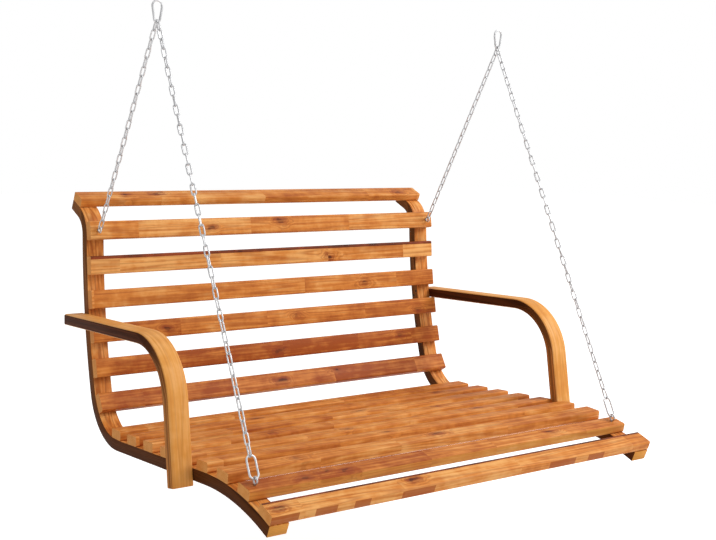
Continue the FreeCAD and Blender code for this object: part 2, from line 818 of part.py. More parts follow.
def hinge_frame():
    """The frame where the hinge run starts: Z along the gate, Y along the pin."""
    point, heading = ORIGIN, 0
    for run in HOOK_FRONT_PATH[:2]:
        point, heading = run_end(point, heading, run)
    return shifted(x=point.x, z=point.y) * turned(90 - heading, ALONG_Y)


def pin_shape(radius, half):
    """A pin across the gate, at its height along the gate."""
    return Part.makeCylinder(radius, 2 * half, Vector(0, -half, size("gate_pin_along")), ALONG_Y)


def pin_hole(radius, half):
    """The space of a pin across the gate, with flats."""
    return placed(bar(radius, 12, -half, half), shifted(z=size("gate_pin_along")) * turned(90))


def gate(name, side):
    """The gate: a bar slotted over the hook's tongue, its other end just short of the hook's nose."""
    body = new_body(f"gate_blank_{name}")
    section = sketch_on(body, f"gate_section_{name}", "XY_Plane")
    rounding(section, "sizes.gate_radius", 12)
    section.setExpression("AttachmentOffset.Base.z", "sizes.gate_pin_along - sizes.gate_below_pin")
    length = "sizes.hook_side - sizes.gate_play - sizes.gate_pin_along + sizes.gate_below_pin"
    feature(body, "Pad", f"gate_bar_{name}", section, Length=length)
    body.Placement = hook_place(side) * hinge_frame()
    wide = 2 * size("gate_radius")
    half = size("gate_slot_half")
    bottom = size("gate_pin_along") - wide
    slot_height = wide + size("gate_slot_above_pin")
    slot = Part.makeBox(2 * wide, 2 * half, slot_height, Vector(-wide, -half, bottom))
    cuts = [placed(shape, body.Placement) for shape in (slot, pin_hole(size("gate_hole_radius"), wide))]
    return drilled(f"hook_gate_{name}", body, cuts)


def build():
    """Make every piece and return those that are written out."""
    pieces = [slat(label, distance) for label, distance in SLATS.items()]
    slat_screw = screw(size("screw_length"))
    arm_screw = screw(size("arm_screw_length"))
    plate, block, link = washer(), nut(), chain_link()
    doc.recompute()
    pieces.append(group("seat_slat_screws", slat_screw, slat_screw_places("seat")))
    pieces.append(group("back_slat_screws", slat_screw, slat_screw_places("back")))
    arm_places = [place for side in SIDES.values() for place in arm_screw_places(side)]
    pieces.append(group("armrest_screws", arm_screw, arm_places))
    washers = [frame * shifted(z=-depth) for frame, depth in BOLTS.values()]
    pieces.append(group("eye_bolt_washers", plate.Shape, washers))
    nuts = [place * shifted(z=-size("washer_thick")) for place in washers]
    pieces.append(group("eye_bolt_nuts", block.Shape, nuts))
    pieces += [eye_bolt(key) for key in BOLTS]
    hooks = []
    pins = []
    for name, side in SIDES.items():
        pieces.append(side_rail(name, side))
        pieces.append(armrest(name, side))
        front = chain_frame(FRONT_PULL, side * FRONT_CHAIN_X)
        rear = chain_frame(REAR_PULL, side * REAR_CHAIN_X)
        top = link_places(front, FRONT_LINKS[:2], 1) + link_places(rear, REAR_LINKS[:1], 1)
        pieces.append(group(f"top_links_{name}", link.Shape, top))
        twist = side * size("chain_twist")
        pieces.append(group(f"front_chain_{name}", link.Shape, link_places(front, FRONT_LINKS[2:], 3, twist)))
        pieces.append(group(f"rear_chain_{name}", link.Shape, link_places(rear, REAR_LINKS[1:], 2)))
        pieces.append(long_link(name, front * shifted(z=-LONG_DISTANCE) * turned(twist, ALONG_Z)))
        hooks.append(snap_hook(name, side))
        pieces.append(gate(name, side))
        pins.append(hook_place(side) * hinge_frame())
    pair = doc.addObject("Part::Compound", "snap_hooks")
    pair.Label = "snap_hooks"
    pair.Links = hooks
    pieces.append(pair)
    pin_half = math.sqrt(size("gate_radius") ** 2 - size("gate_pin_radius") ** 2)
    pieces.append(group("gate_pins", pin_shape(size("gate_pin_radius"), pin_half), pins))
    doc.recompute()
    return pieces


def check(pieces):
    """Stop on any object that failed and on any piece without a valid solid."""
    for item in doc.Objects:
        if "Invalid" in item.State or "Error" in item.State:
            raise RuntimeError(f"{item.Label}: {item.State}")
    for piece in pieces:
        if piece.Shape.isNull() or not piece.Shape.isValid() or not piece.Shape.Solids:
            raise RuntimeError(f"{piece.Label}: no valid solid")


def write(pieces):
    """Write each piece under its own name."""
    os.makedirs("parts", exist_ok=True)
    for piece in pieces:
        piece.Shape.exportStep(f"parts/{piece.Label}.step")


PIECES = build()
check(PIECES)
write(PIECES)
print(f"{len(PIECES)} pieces, rail {RAIL_LENGTH:.1f} mm long, swing axis {HOOK_FRAME.Base.z:.2f} mm high")
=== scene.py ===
"""Swing bench: varnished slats on bent rails, two bent armrests, zinc-plated chains and snap hooks."""
import json
import math
import bmesh
import bpy
import numpy
from bpy.props import FloatProperty, FloatVectorProperty, IntProperty, PointerProperty
from mathutils import Matrix, Vector

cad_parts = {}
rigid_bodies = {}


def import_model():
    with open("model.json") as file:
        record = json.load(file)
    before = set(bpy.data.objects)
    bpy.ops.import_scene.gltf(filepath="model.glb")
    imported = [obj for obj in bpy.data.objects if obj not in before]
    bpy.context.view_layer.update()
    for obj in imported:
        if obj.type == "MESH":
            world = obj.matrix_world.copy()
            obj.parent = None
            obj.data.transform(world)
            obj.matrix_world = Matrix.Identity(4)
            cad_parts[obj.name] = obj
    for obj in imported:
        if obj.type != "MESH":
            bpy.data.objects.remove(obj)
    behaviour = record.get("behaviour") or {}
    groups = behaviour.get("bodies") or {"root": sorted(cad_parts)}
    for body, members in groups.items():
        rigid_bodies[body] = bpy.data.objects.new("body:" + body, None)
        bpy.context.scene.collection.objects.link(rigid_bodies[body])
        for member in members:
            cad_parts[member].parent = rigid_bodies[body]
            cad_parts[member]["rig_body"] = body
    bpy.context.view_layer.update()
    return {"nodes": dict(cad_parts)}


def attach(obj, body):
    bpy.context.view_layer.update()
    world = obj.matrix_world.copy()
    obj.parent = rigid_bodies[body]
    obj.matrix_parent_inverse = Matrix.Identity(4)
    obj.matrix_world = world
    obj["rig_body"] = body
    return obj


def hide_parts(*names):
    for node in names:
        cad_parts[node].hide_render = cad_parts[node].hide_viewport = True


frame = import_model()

bl_info = {
    "name": "Swing Bench",
    "version": (1, 0, 0),
    "blender": (4, 5, 0),
    "location": "View3D > Sidebar > Swing Bench",
    "description": "Builds the pieces, finishes and stage of a hanging bench",
    "category": "Object",
}

MM = 0.001
SIDES = ("left", "right")
NODE_BODY = {name: node["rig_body"] for name, node in frame["nodes"].items()}

# The upright frame of the seat, turned and moved to where the bench hangs: X from the left rail, Y back, Z up
HANG_ANGLE = math.radians(2.78)
SWING_POINT = Vector((577.5, 536.839, 1077.619)) * MM
SWING_HEIGHT = -48.875 * MM
UPRIGHT_TO_HUNG = (
    Matrix.Translation((0, 0, SWING_HEIGHT))
    @ Matrix.Rotation(-HANG_ANGLE, 4, "X")
    @ Matrix.Translation(-SWING_POINT)
)

# Lines of the bent strips, in the upright frame: start, heading and runs as (length,) or (radius, turn)
RAIL_START = (0.0, 1.0, 25.0)
RAIL_RUNS = ((600, -26.2), (442.9,), (130, 77.1), (1668, 14.1), (80, -64), (44,))
ARM_START = (909.0, 347.5, 180.0)
ARM_RUNS = ((414.4,), (160, 83.1), (190,))

# Links, in millimetres: half the width and half the length of the wire's centre line
LINK_HALVES = (5.1, 14.25)
LONG_LINK_HALVES = (11, 25.55)

# Eye bolts, in millimetres: from the middle of the eye to its wire, its tip and its shank; the shank's radius
EYE_RADIUS = 7.5
EYE_TIP = 9.5
SHANK_END = 7
SHANK_RADIUS = 3

# Snap hooks, in millimetres and degrees: wire centre line from the middle of the lower bow
HOOK_X = 553.5 * MM
HOOK_LEAN = 9.236
HOOK_RUNS = ((2.6,), (5, 90 - HOOK_LEAN), (33,), (12.6, 180 + 2 * HOOK_LEAN))
TONGUE_RUNS = ((2.6,), (5, 90 - HOOK_LEAN), (1,))
TONGUE_CENTRE = (8.18, 8.15)
TONGUE_SIZE = (4.4, 6.6, 2.2)
TONGUE_EDGE = 0.6

# Faces round a wire, and degrees between the steps of its bends
LINK_STEP = 36
LONG_LINK_DETAIL = (10, 20)
EYE_DETAIL = (12, 15)
HOOK_DETAIL = (14, 15)
SHANK_DETAIL = (16, 90)

# Gap and angle below which points and faces are one; angle and lengths above which an edge is eased
WELD_GAP = 2e-6
FLAT_ANGLE = math.radians(0.3)
SHARP_ANGLE = math.radians(25)
SLAT_EDGE_LEAST = 200 * MM
STRIP_EDGE_LEAST = 3 * MM

# How squarely a strip's side and a slat's end or edge face outwards, and how deep an end reaches
SIDE_FACING = 0.75
EDGE_FACING = 0.9
SLAT_END_DEPTH = 2 * MM
STRIP_END_DEPTH = 1 * MM

# Order of the finishes on a slat and on a bent strip
SLAT_FACE, SLAT_END, PAINTED_SHADE_EDGE, JOINTED_EDGE, PALE_EDGE = range(5)
STRIP_FACE, STRIP_SIDE, STRIP_END = range(3)

# Metres between the places in the wood from which the slats, rails and armrests take their figure
SLAT_FIGURE_STEP = 3.37
RAIL_FIGURE_START = 61.0
ARM_FIGURE_START = 71.0

# Boards that are stained deeper or paler than the rest, as shares of the step from pale to dark
BOARD_TONE = 0.42
BOARD_TONES = {
    "back_slat_1": 0.36, "back_slat_2": 0.33, "back_slat_3": 0.22, "back_slat_4": 0.42, "back_slat_5": 0.56,
    "back_slat_6": 0.74, "back_slat_7": 0.7, "seat_slat_8": 0.58, "seat_slat_9": 0.3,
}
# Slats with painted shade along the edge next to the neighbouring slat, where the shade between the two slats
# falls
PAINTED_SHADE_SLATS = ("back_slat_3", "seat_slat_9")
FRONT_EDGES = {"seat_slat_8": PALE_EDGE, "seat_slat_9": JOINTED_EDGE}

# Knots of each board, in millimetres from its left end, and how far they lie from its middle in turn
KNOTS = {
    "back_slat_1": (144, 234, 1084), "back_slat_2": (360, 597), "back_slat_3": (766,),
    "back_slat_4": (890,), "back_slat_5": (214, 632, 1084), "back_slat_6": (562, 1002),
    "back_slat_7": (550, 754), "seat_slat_2": (355, 980), "seat_slat_3": (620,), "seat_slat_4": (300, 830),
    "seat_slat_5": (454, 900), "seat_slat_6": (510,), "seat_slat_7": (190, 614),
    "seat_slat_8": (145, 205, 262, 904), "seat_slat_9": (28, 399),
}
KNOT_SIDES = (-4, 7, -8, 3)
NO_KNOT = (-99.0, 0.0, 0.0)

# How much blocks, cloudy patches and streaks deepen the tone, and where the pale, dark and middle tones lie
BLOCK_SHARE = 0.26
PATCH_SHARE = 1.0
STREAK_SHARE = 1.2
PALE_DEPTH = 1.27
DARK_DEPTH = 2.07
HONEY_STOP = 0.45

# Metres between joints, more than a strip is long, so that it shows none
STRIP_BLOCK = 40.0

# Shift of the figure from block to block, raggedness of knots; size, bend and count of the growth lines
BLOCK_SHIFT = (31, 17, 23)
RAGGED = 1.4
LINE_SCALE = 0.2
LINE_BEND = 0.35
LINE_COUNT = 9.0

# Streaks along, across and through the layers, patches on the sawn ends, in millimetres, and the rings' slant
LAYER_STREAK = (110, 6, 1.6)
END_PATCH = 18
RING_SLANT = (0.0, 0.5, 0.87)

# Sockets of a mix of colours and of a mix of numbers
COLOUR_A, COLOUR_B, COLOUR_OUT = 6, 7, 2
NUMBER_A, NUMBER_B = 2, 3

# The camera in the upright frame, in millimetres and degrees, and the lamp where the bench hangs, in metres
CAMERA_PLACE = (-1326.82, -2079.90, 731.92)
CAMERA_YAW = -35.6762
CAMERA_PITCH = -0.3737
CAMERA_SHIFT = (0.0303, -0.1335)
LAMP_PLACE = (3.2, -2.6, 2.4)
LAMP_TARGET = (0, -0.1, -0.9)
LAMP_WIDTH = 2.6
FLOOR_REACH = 14


def linear(hex_colour):
    """An sRGB hex colour as linear light with full opacity."""
    shares = [int(hex_colour[start:start + 2], 16) / 255 for start in (1, 3, 5)]
    return tuple(s / 12.92 if s <= 0.04045 else ((s + 0.055) / 1.055) ** 2.4 for s in shares) + (1.0,)


def colour_property(name, description, hex_colour):
    """A colour that a user may change."""
    return FloatVectorProperty(
        name=name, description=description, subtype="COLOR", size=4, min=0, max=1, default=linear(hex_colour)
    )


def length_property(name, description, millimetres):
    """A length that a user may change."""
    return FloatProperty(
        name=name, description=description, unit="LENGTH", precision=5, min=0, default=millimetres * MM
    )


def share_property(name, description, share):
    """A strength that a user may change."""
    return FloatProperty(name=name, description=description, subtype="FACTOR", min=0, max=1, default=share)


class WoodSettings(bpy.types.PropertyGroup):
    """Sizes and colours of the varnished wood."""
    edge: length_property("Edge rounding", "Rounding of the edges of slats and armrests", 1.3)
    rail_edge: length_property("Rail edge rounding", "Rounding of the edges of the rails", 4.0)
    streak: length_property("Streak width", "Width of the darker streaks of the grain", 7)
    ripple: length_property("Ripple length", "Length along the board of its cloudy patches", 55)
    ply: length_property("Ply thickness", "Thickness of one layer of the bent strips", 4.5)
    # Width of the painted shade along the edge of a slat next to its neighbour
    painted_shade_band: length_property("Dark band", "Width of the dark wood along the edge of two slats", 8)
    block: length_property("Block length", "Length of the blocks that a slat is joined from", 300)
    edge_block: length_property("Edge block length", "Length of the blocks in the front edge", 45)
    knot_length: length_property("Knot length", "Reach along the board of the dark wood round a knot", 50)
    knot_width: length_property("Knot width", "Reach across the board of the dark wood round a knot", 25)
    ring_gap: length_property("Ring gap", "Distance between the growth rings on the sawn ends", 2.4)
    pale: colour_property("Pale", "Tone of the lightest patches", "#EDAE66")
    honey: colour_property("Honey", "Main tone of the slats", "#D5843A")
    amber: colour_property("Amber", "Tone of the darkest patches", "#A04C18")
    grain: colour_property("Grain", "Tone of the late wood lines", "#96481A")
    scar: colour_property("Scar", "Tone of the wood round the knots", "#8E3E1A")
    # Knot and scar tones also paint the shade along the edge of a slat next to its neighbour
    knot: colour_property("Knot", "Tone of knots and dark edges", "#4A2010")
    strip: colour_property("Strip", "Main tone of the faces of the bent strips", "#E09A4A")
    rail_side: colour_property("Rail side", "Tone of the cut layers at the front of the rails", "#5E3418")
    rail_end: colour_property("Rail end", "Tone of the cut layers at the top of the rails", "#925C32")
    arm_side: colour_property("Armrest side", "Tone of the cut layers along the armrests", "#582C14")
    arm_end: colour_property("Armrest end", "Tone of the cut layers at the feet of the armrests", "#CC8444")
    glue: colour_property("Glue line", "Tone of the glue lines between layers", "#2E150A")


class MetalSettings(bpy.types.PropertyGroup):
    """Sizes and colours of chains, hooks and fasteners."""
    link_wire: length_property("Link wire", "Wire thickness of the chain links", 3.9)
    long_wire: length_property("Long link wire", "Wire thickness of the long links", 4.6)
    hook_wire: length_property("Hook wire", "Wire thickness of the snap hooks", 5)
    eye_wire: length_property("Eye wire", "Wire thickness of the eye bolts", 4.2)
    wire_sides: IntProperty(
        name="Wire faces", description="Faces round a chain wire", subtype="UNSIGNED",
        default=6, min=4, max=12,
    )
    zinc: colour_property("Zinc", "Tone of the zinc plating", "#DADADB")
    worn: colour_property("Worn zinc", "Tone of rubbed zinc plating", "#B2B2B4")
    brown: colour_property("Browned steel", "Tone of the screws", "#4A3626")
    black: colour_property("Dark steel", "Tone of the screws where they are rubbed least", "#2C2018")


class StageSettings(bpy.types.PropertyGroup):
    """Floor, lights and camera."""
    floor_height: FloatProperty(
        name="Floor", description="Height of the floor", unit="LENGTH", default=-1.47
    )
    lens: FloatProperty(
        name="Lens", description="Focal length", subtype="DISTANCE_CAMERA", default=61.22
    )
    key_power: FloatProperty(
        name="Key light", description="Power of the large lamp", unit="POWER", default=182
    )
    sky: share_property("Sky", "Strength of the light from all round", 0.62)
    walls: share_property("Walls", "Strength of the walls as the metal mirrors them", 0.3)
    floor: colour_property("Floor tone", "Tone of the pale floor", "#EFEFEE")
    floor_glow: share_property("Floor glow", "Light that lifts the seen floor to white", 0.57)


# Shapes

def frames_along(start, runs, step_mm=4.0):
    """Points, headings and distances on a line of straight runs and arcs in the upright frame, in metres."""
    y, z, heading = start[0], start[1], math.radians(start[2])
    spots = []
    distance = 0.0
    for run in runs:
        straight = len(run) == 1
        turn = 0.0 if straight else math.radians(run[1])
        length = run[0] if straight else run[0] * abs(turn)
        count = max(2, math.ceil(length / step_mm))
        for index in range(count + 1):
            part = index / count
            if straight:
                spot = (y + math.cos(heading) * length * part, z + math.sin(heading) * length * part)
            else:
                side = math.copysign(math.pi / 2, turn)
                centre = (y + math.cos(heading + side) * run[0], z + math.sin(heading + side) * run[0])
                away = heading + turn * part - side
                spot = (centre[0] + math.cos(away) * run[0], centre[1] + math.sin(away) * run[0])
            spots.append((spot[0] * MM, spot[1] * MM, heading + turn * part, (distance + length * part) * MM))
        y, z, heading = spot[0], spot[1], heading + turn
        distance += length
    return numpy.array(spots)


def merged_copy(node):
    """A copy of a CAD node with its triangles joined and its flat faces whole."""
    bm = bmesh.new()
    bm.from_mesh(bpy.data.objects[node].data)
    bmesh.ops.remove_doubles(bm, verts=bm.verts, dist=WELD_GAP)
    bmesh.ops.dissolve_limit(bm, angle_limit=FLAT_ANGLE, verts=bm.verts, edges=bm.edges)
    return bm


def round_edges(bm, edges, rounding):
    """Round edges by two segments."""
    bmesh.ops.bevel(
        bm, geom=edges, offset=rounding, offset_type="OFFSET", segments=2, profile=0.5,
        affect="EDGES", clamp_overlap=True, material=-1,
    )


def ease_edges(bm, rounding, shortest):
    """Round the long outer edges of a board or strip and leave its drilled holes as they are."""
    outer = [edge for edge in bm.edges if edge.is_manifold and edge.calc_length() > shortest]
    round_edges(bm, [edge for edge in outer if edge.calc_face_angle_signed() > SHARP_ANGLE], rounding)


def finish_mesh(bm, name, materials, nodes, sharp_angle=38):
    """Turn a bmesh into a smooth-shaded piece that stands for its CAD nodes and rides on their body."""
    limit = math.radians(sharp_angle)
    for edge in bm.edges:
        edge.smooth = not (len(edge.link_faces) == 2 and edge.calc_face_angle() > limit)
    for face in bm.faces:
        face.smooth = True
    mesh = bpy.data.meshes.new(name)
    bm.to_mesh(mesh)
    bm.free()
    piece = bpy.data.objects.new(name, mesh)
    bpy.context.scene.collection.objects.link(piece)
    for material in materials:
        mesh.materials.append(material)
    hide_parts(*nodes)
    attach(piece, NODE_BODY[nodes[0]])
    return piece


def write_grain(piece, places, tone, knots=()):
    """Keep each vertex's place along, across and off its board, its share of the length and the knots."""
    places = numpy.asarray(places, dtype=numpy.float32)
    vectors = {"grain": places}
    for number in range(len(KNOT_SIDES)):
        spot = knots[number] if number < len(knots) else NO_KNOT
        vectors[f"knot_{number}"] = numpy.tile(numpy.array(spot, dtype=numpy.float32), (len(places), 1))
    for name, values in vectors.items():
        layer = piece.data.attributes.new(name, "FLOAT_VECTOR", "POINT")
        layer.data.foreach_set("vector", values.ravel())
    along = places[:, 0]
    shares = {
        "reach": (along - along.min()) / (along.max() - along.min()),
        "tone": numpy.full(len(places), tone, dtype=numpy.float32),
    }
    for name, values in shares.items():
        layer = piece.data.attributes.new(name, "FLOAT", "POINT")
        layer.data.foreach_set("value", values)


def vertex_array(piece):
    """The vertex places of a piece as rows."""
    places = numpy.empty(len(piece.data.vertices) * 3, dtype=numpy.float32)
    piece.data.vertices.foreach_get("co", places)
    return places.reshape(-1, 3).astype(float)


def principal_frame(points):
    """The mean of a set of points and their axes, the longest first."""
    mean = points.mean(axis=0)
    return mean, numpy.linalg.svd(points - mean, full_matrices=False)[2]


def bend_wire(bm, runs, radius, sides, arc_step, place, closed=False):
    """A round wire along runs of a plane: starts at the origin along X, turns about Z, then is placed."""
    made = bmesh.ops.create_circle(
        bm, segments=sides, radius=radius, matrix=Matrix.Rotation(math.pi / 2, 4, "Y")
    )
    verts = set(made["verts"])
    edges = list({edge for vert in made["verts"] for edge in vert.link_edges})
    first = list(edges)
    point, heading = Vector((0, 0, 0)), 0.0
    for run in runs:
        along = Vector((math.cos(heading), math.sin(heading), 0))
        if len(run) == 1:
            grown = bmesh.ops.extrude_edge_only(bm, edges=edges)["geom"]
            new_verts = [item for item in grown if isinstance(item, bmesh.types.BMVert)]
            bmesh.ops.translate(bm, verts=new_verts, vec=along * run[0])
            point = point + along * run[0]
            verts.update(new_verts)
            edges = [
                item for item in grown
                if isinstance(item, bmesh.types.BMEdge) and all(vert in new_verts for vert in item.verts)
            ]
        else:
            turn = math.radians(run[1])
            left = Vector((-along.y, along.x, 0)) * math.copysign(1, turn)
            centre = point + left * run[0]
            before = set(bm.verts)
            spun = bmesh.ops.spin(
                bm, geom=edges, cent=centre, axis=(0, 0, 1), angle=turn,
                steps=max(2, round(abs(run[1]) / arc_step)), use_merge=False,
            )
            verts.update(vert for vert in bm.verts if vert not in before)
            edges = [item for item in spun["geom_last"] if isinstance(item, bmesh.types.BMEdge)]
            point = centre + Matrix.Rotation(turn, 3, "Z") @ (point - centre)
            heading += turn
    verts = list(verts)
    if closed:
        bmesh.ops.remove_doubles(bm, verts=verts, dist=WELD_GAP)
        verts = [vert for vert in verts if vert.is_valid]
    else:
        for loop in (first, edges):
            bmesh.ops.contextual_create(bm, geom=loop)
    faces = list({face for vert in verts for face in vert.link_faces})
    bmesh.ops.recalc_face_normals(bm, faces=faces)
    bmesh.ops.transform(bm, verts=verts, matrix=place)


def in_metres(runs):
    """Runs given in millimetres, in metres; turns stay in degrees."""
    return [(run[0] * MM,) + tuple(run[1:]) for run in runs]


def islands(points, edges):
    """The vertex numbers of each separate solid of a mesh."""
    owner = list(range(len(points)))

    def root(number):
        while owner[number] != number:
            owner[number] = owner[owner[number]]
            number = owner[number]
        return number

    for first, second in edges:
        owner[root(first)] = root(second)
    groups = {}
    for number in range(len(points)):
        groups.setdefault(root(number), []).append(number)
    return list(groups.values())


def solids_of(node):
    """The points of each separate solid in a CAD node."""
    bm = merged_copy(node)
    bm.verts.index_update()
    points = numpy.array([vert.co[:] for vert in bm.verts])
    pairs = [(edge.verts[0].index, edge.verts[1].index) for edge in bm.edges]
    bm.free()
    return [points[group] for group in islands(points, pairs)]


def frame_matrix(centre, long_axis, wide_axis):
    """A place whose X runs along a long axis and Y along a wide axis."""
    along = Vector(long_axis).normalized()
    normal = along.cross(Vector(wide_axis)).normalized()
    across = normal.cross(along)
    matrix = Matrix((along, across, normal)).transposed().to_4x4()
    return Matrix.Translation(Vector(centre)) @ matrix


# Finishes

def add(tree, kind, inputs=None, **settings):
    """Add a node with its settings; an input is given a number, a colour or another node's socket."""
    made = tree.nodes.new(kind)
    for name, value in settings.items():
        setattr(made, name, value)
    for socket, value in (inputs or {}).items():
        if isinstance(value, bpy.types.NodeSocket):
            tree.links.new(value, made.inputs[socket])
        else:
            made.inputs[socket].default_value = value
    return made


def new_finish(name):
    """An empty material with its shader and output."""
    material = bpy.data.materials.new(name)
    material.use_nodes = True
    tree = material.node_tree
    tree.nodes.clear()
    shader = add(tree, "ShaderNodeBsdfPrincipled")
    add(tree, "ShaderNodeOutputMaterial", {"Surface": shader.outputs["BSDF"]})
    return material, tree, shader


def knot_field(tree, wood, place, patches):
    """How near a point is to the closest knot of its board, from 0 to 1, with a ragged border."""
    ragged = add(
        tree, "ShaderNodeVectorMath",
        {0: patches.outputs["Color"], 1: (RAGGED, RAGGED, 0.0), 2: (-RAGGED / 2, -RAGGED / 2, 0.0)},
        operation="MULTIPLY_ADD",
    )
    distance = 1.0
    for number in range(len(KNOT_SIDES)):
        knot = add(tree, "ShaderNodeAttribute", attribute_name=f"knot_{number}")
        gap = add(
            tree, "ShaderNodeVectorMath", {0: place.outputs["Vector"], 1: knot.outputs["Vector"]},
            operation="SUBTRACT",
        )
        bent = add(
            tree, "ShaderNodeVectorMath",
            {0: gap.outputs[0], 1: (1 / wood.knot_length, 1 / wood.knot_width, 0.0), 2: ragged.outputs[0]},
            operation="MULTIPLY_ADD",
        )
        reach = add(tree, "ShaderNodeVectorMath", {0: bent.outputs[0]}, operation="LENGTH")
        distance = add(
            tree, "ShaderNodeMath", {0: distance, 1: reach.outputs["Value"]}, operation="MINIMUM"
        ).outputs[0]
    return add(
        tree, "ShaderNodeMapRange",
        {"Value": distance, "From Min": 0.0, "From Max": 1.0, "To Min": 1.0, "To Max": 0.0},
        interpolation_type="SMOOTHSTEP",
    )


def growth_lines(tree, fibre, near, figure):
    """Late wood lines: the contours of a slow change across the board, running round the knots."""
    slow = add(
        tree, "ShaderNodeTexNoise",
        {"Vector": fibre.outputs[0], "Scale": LINE_SCALE, "Detail": 1.0, "Roughness": 0.4},
    )
    bent = add(
        tree, "ShaderNodeMath", {0: near.outputs[0], 1: LINE_BEND, 2: slow.outputs["Fac"]},
        operation="MULTIPLY_ADD",
    )
    lines = add(tree, "ShaderNodeMath", {0: bent.outputs[0], 1: LINE_COUNT}, operation="MULTIPLY")
    line = add(tree, "ShaderNodeMath", {0: lines.outputs[0], 1: 0.5}, operation="PINGPONG")
    return add(
        tree, "ShaderNodeMapRange",
        {"Value": line.outputs[0], "From Min": 0.18, "From Max": 0.5, "To Min": 0.0, "To Max": figure},
        interpolation_type="SMOOTHSTEP",
    )


def edge_blocks(tree, wood, along):
    """Which of the short blocks in the front edge are dark."""
    cell = add(tree, "ShaderNodeMath", {0: along, 1: 1 / wood.edge_block}, operation="MULTIPLY")
    block = add(
        tree, "ShaderNodeTexVoronoi", {"W": cell.outputs[0], "Scale": 1.0, "Randomness": 1.0},
        voronoi_dimensions="1D",
    )
    chance = add(tree, "ShaderNodeSeparateColor", {0: block.outputs["Color"]})
    dark = add(tree, "ShaderNodeMath", {0: chance.outputs[0], 1: 0.55}, operation="GREATER_THAN")
    return add(tree, "ShaderNodeMath", {0: dark.outputs[0], 1: 0.8}, operation="MULTIPLY")


def satin(tree, shader, streaks):
    """A satin varnish, a little duller where the streaks lie."""
    sheen = add(
        tree, "ShaderNodeMapRange",
        {"Value": streaks.outputs["Fac"], "From Min": 0.3, "From Max": 0.8, "To Min": 0.42, "To Max": 0.6},
    )
    tree.links.new(sheen.outputs[0], shader.inputs["Roughness"])


def varnished_wood(name, wood, tones, figure, block_length, stretch=24, joints=False):
    """Jointed boards under satin varnish: cloudy patches, long streaks, growth lines that run round knots."""
    material, tree, shader = new_finish(name)
    place = add(tree, "ShaderNodeAttribute", attribute_name="grain")
    board = add(tree, "ShaderNodeAttribute", attribute_name="tone")
    split = add(tree, "ShaderNodeSeparateXYZ", {0: place.outputs["Vector"]})
    # Blocks are joined end to end, each cut from another part of a tree
    cell = add(tree, "ShaderNodeMath", {0: split.outputs[0], 1: 1 / block_length}, operation="MULTIPLY")
    block = add(
        tree, "ShaderNodeTexVoronoi", {"W": cell.outputs[0], "Scale": 1.0, "Randomness": 0.8},
        voronoi_dimensions="1D",
    )
    chance = add(tree, "ShaderNodeSeparateColor", {0: block.outputs["Color"]})
    shift = add(
        tree, "ShaderNodeVectorMath", {0: block.outputs["Color"], 1: BLOCK_SHIFT}, operation="MULTIPLY"
    )
    fibre = add(
        tree, "ShaderNodeVectorMath",
        {
            0: place.outputs["Vector"],
            1: (1 / (stretch * wood.streak), 1 / wood.streak, 1 / wood.streak),
            2: shift.outputs[0],
        },
        operation="MULTIPLY_ADD",
    )
    streaks = add(
        tree, "ShaderNodeTexNoise",
        {"Vector": fibre.outputs[0], "Scale": 1.0, "Detail": 4.0, "Roughness": 0.62},
    )
    # Cloudy patches are about as wide as they are long
    cloud = add(
        tree, "ShaderNodeVectorMath",
        {
            0: place.outputs["Vector"],
            1: (1 / wood.ripple, 0.9 / wood.ripple, 0.9 / wood.ripple),
            2: shift.outputs[0],
        },
        operation="MULTIPLY_ADD",
    )
    patches = add(
        tree, "ShaderNodeTexNoise",
        {"Vector": cloud.outputs[0], "Scale": 1.0, "Detail": 3.0, "Roughness": 0.6},
    )
    depth = board.outputs["Fac"]
    for source, share in ((chance, BLOCK_SHARE), (patches, PATCH_SHARE), (streaks, STREAK_SHARE)):
        depth = add(
            tree, "ShaderNodeMath", {0: source.outputs[0], 1: share, 2: depth}, operation="MULTIPLY_ADD"
        ).outputs[0]
    share = add(
        tree, "ShaderNodeMapRange", {"Value": depth, "From Min": PALE_DEPTH, "From Max": DARK_DEPTH}
    )
    tone = add(tree, "ShaderNodeValToRGB", {"Fac": share.outputs[0]})
    stops = tone.color_ramp.elements
    stops.new(HONEY_STOP)
    for stop, colour in zip(stops, tones):
        stop.color = colour
    stops[2].position = 1.0
    near = knot_field(tree, wood, place, patches)
    marks = [(growth_lines(tree, fibre, near, figure), wood.grain)]
    # Streaks break up the dark wood round the knots
    broken = add(
        tree, "ShaderNodeMapRange",
        {"Value": streaks.outputs["Fac"], "From Min": 0.4, "From Max": 0.6, "To Min": 0.25, "To Max": 1.0},
    )
    for colour, least, most in ((wood.scar, 0.25, 0.8), (wood.knot, 0.82, 0.97)):
        spot = add(
            tree, "ShaderNodeMapRange",
            {"Value": near.outputs[0], "From Min": least, "From Max": most, "To Min": 0.0, "To Max": 0.9},
            interpolation_type="SMOOTHSTEP",
        )
        spot = add(
            tree, "ShaderNodeMath", {0: spot.outputs[0], 1: broken.outputs[0]}, operation="MULTIPLY"
        )
        marks.append((spot, colour))
    if joints:
        marks.append((edge_blocks(tree, wood, split.outputs[0]), wood.amber))
    marked = tone.outputs["Color"]
    for amount, colour in marks:
        marked = add(
            tree, "ShaderNodeMix",
            {"Factor": amount.outputs[0], COLOUR_A: marked, COLOUR_B: tuple(colour)}, data_type="RGBA",
        ).outputs[COLOUR_OUT]
    pores = add(
        tree, "ShaderNodeBump", {"Height": streaks.outputs["Fac"], "Strength": 0.25, "Distance": 0.3 * MM}
    )
    satin(tree, shader, streaks)
    tree.links.new(marked, shader.inputs["Base Color"])
    tree.links.new(pores.outputs[0], shader.inputs["Normal"])
    shader.inputs["Specular IOR Level"].default_value = 0.14
    return material


